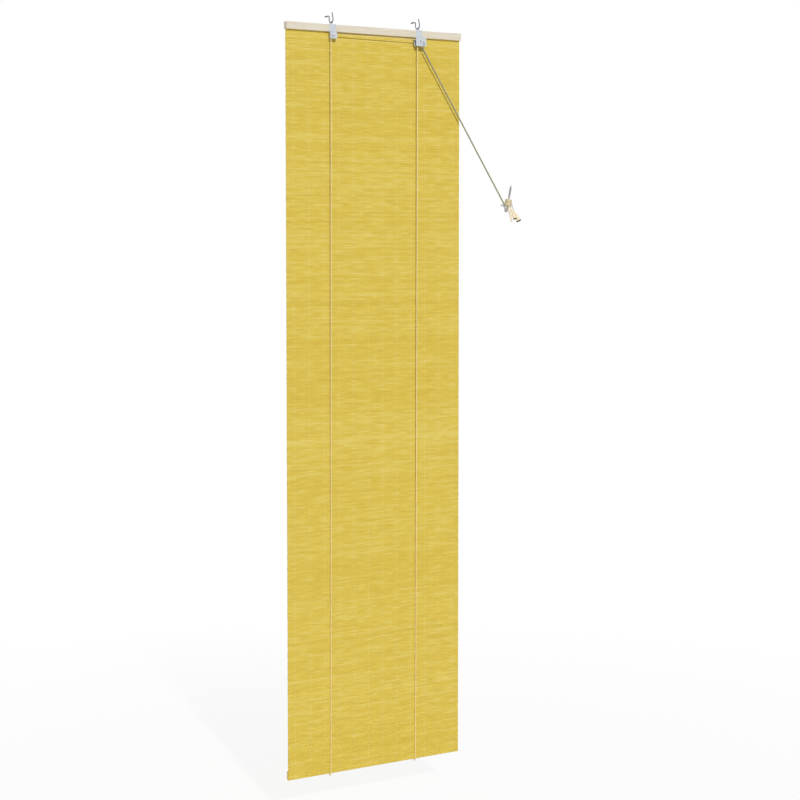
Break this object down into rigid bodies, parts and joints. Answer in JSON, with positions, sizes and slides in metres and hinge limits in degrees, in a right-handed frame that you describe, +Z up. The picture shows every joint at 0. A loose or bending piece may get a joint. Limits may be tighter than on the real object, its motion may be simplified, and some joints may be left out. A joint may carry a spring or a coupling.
{
  "type": "roll-up bamboo blind",
  "caption": "Bamboo slat mat that hangs from a wooden head rail on two screw hooks and rolls up on two lift cords, with a cord lock and wooden tassels on the pull cord.",
  "frame": {"origin": "on the wall, midway between the two hook screws, at the height of their axis", "axes": "X to the right seen from the front, Y into the wall, Z up"},
  "size_m": [0.8136, 0.0713, 2.2424],
  "materials": {
    "rail_wood": "planed",
    "bamboo": "satin",
    "thread": "matte",
    "zinc_sheet": "zinc plated",
    "zinc_pin": "zinc plated",
    "hook_steel": "satin",
    "cord": "matte",
    "peg_wood": "lacquered",
    "tassel_wood": "lacquered"
  },
  "bodies": {
    "rail": {"front_batten": "rail_wood", "back_batten": "rail_wood", "rail_nails": "zinc_pin", "slat_mat": "bamboo", "warp_threads": "thread", "left_bracket": "zinc_sheet", "left_axle": "zinc_pin", "right_bracket": "zinc_sheet", "lock_axle": "zinc_pin", "guide_pin": "zinc_pin", "left_hook": "hook_steel", "right_hook": "hook_steel", "bracket_screws": "zinc_pin", "cord_staples": "zinc_pin", "left_lift_cord": "cord", "right_lift_cord": "cord", "left_pull_cord": "cord", "right_pull_cord": "cord", "cord_wraps": "cord", "left_tail_cord": "cord", "right_tail_cord": "cord", "peg": "peg_wood", "peg_screw": "hook_steel", "left_tassel": "tassel_wood", "right_tassel": "tassel_wood"},
    "bottom": {"bottom_slat": "bamboo"},
    "left_wheel": {"left_wheel": "zinc_pin"},
    "front_lock_wheel": {"front_lock_wheel": "zinc_pin"},
    "back_lock_wheel": {"back_lock_wheel": "zinc_pin"},
    "lock_pin": {"lock_pin": "zinc_pin"},
    "lock_roller": {"lock_roller": "zinc_pin"}
  },
  "joints": [
    {"name": "lift", "type": "slide", "parent": "rail", "child": "bottom", "axis": [0, 0, 1], "range_m": [0, 2.05], "deforming": ["slat_mat", "warp_threads", "left_lift_cord", "right_lift_cord"]},
    {"name": "left_wheel_spin", "type": "hinge", "parent": "rail", "child": "left_wheel", "pos_m": [-0.1515, -0.0288, -0.059], "axis": [0, 1, 0], "continuous": true},
    {"name": "back_lock_wheel_spin", "type": "hinge", "parent": "rail", "child": "back_lock_wheel", "pos_m": [0.1465, -0.0288, -0.059], "axis": [0, 1, 0], "continuous": true},
    {"name": "front_lock_wheel_spin", "type": "hinge", "parent": "rail", "child": "front_lock_wheel", "pos_m": [0.1465, -0.0338, -0.059], "axis": [0, 1, 0], "continuous": true},
    {"name": "lock_pin_slide", "type": "slide", "parent": "rail", "child": "lock_pin", "axis": [-0.6, 0, 0.8], "range_m": [0, 0.005]},
    {"name": "lock_roller_spin", "type": "hinge", "parent": "lock_pin", "child": "lock_roller", "pos_m": [0.1602, -0.0313, -0.066], "axis": [0, 1, 0], "continuous": true}
  ],
  "couplings": [
    {"joint": "left_wheel_spin", "follows": "lift", "rad_per_m": 400},
    {"joint": "back_lock_wheel_spin", "follows": "lift", "rad_per_m": 400},
    {"joint": "front_lock_wheel_spin", "follows": "lift", "rad_per_m": 400}
  ]
}
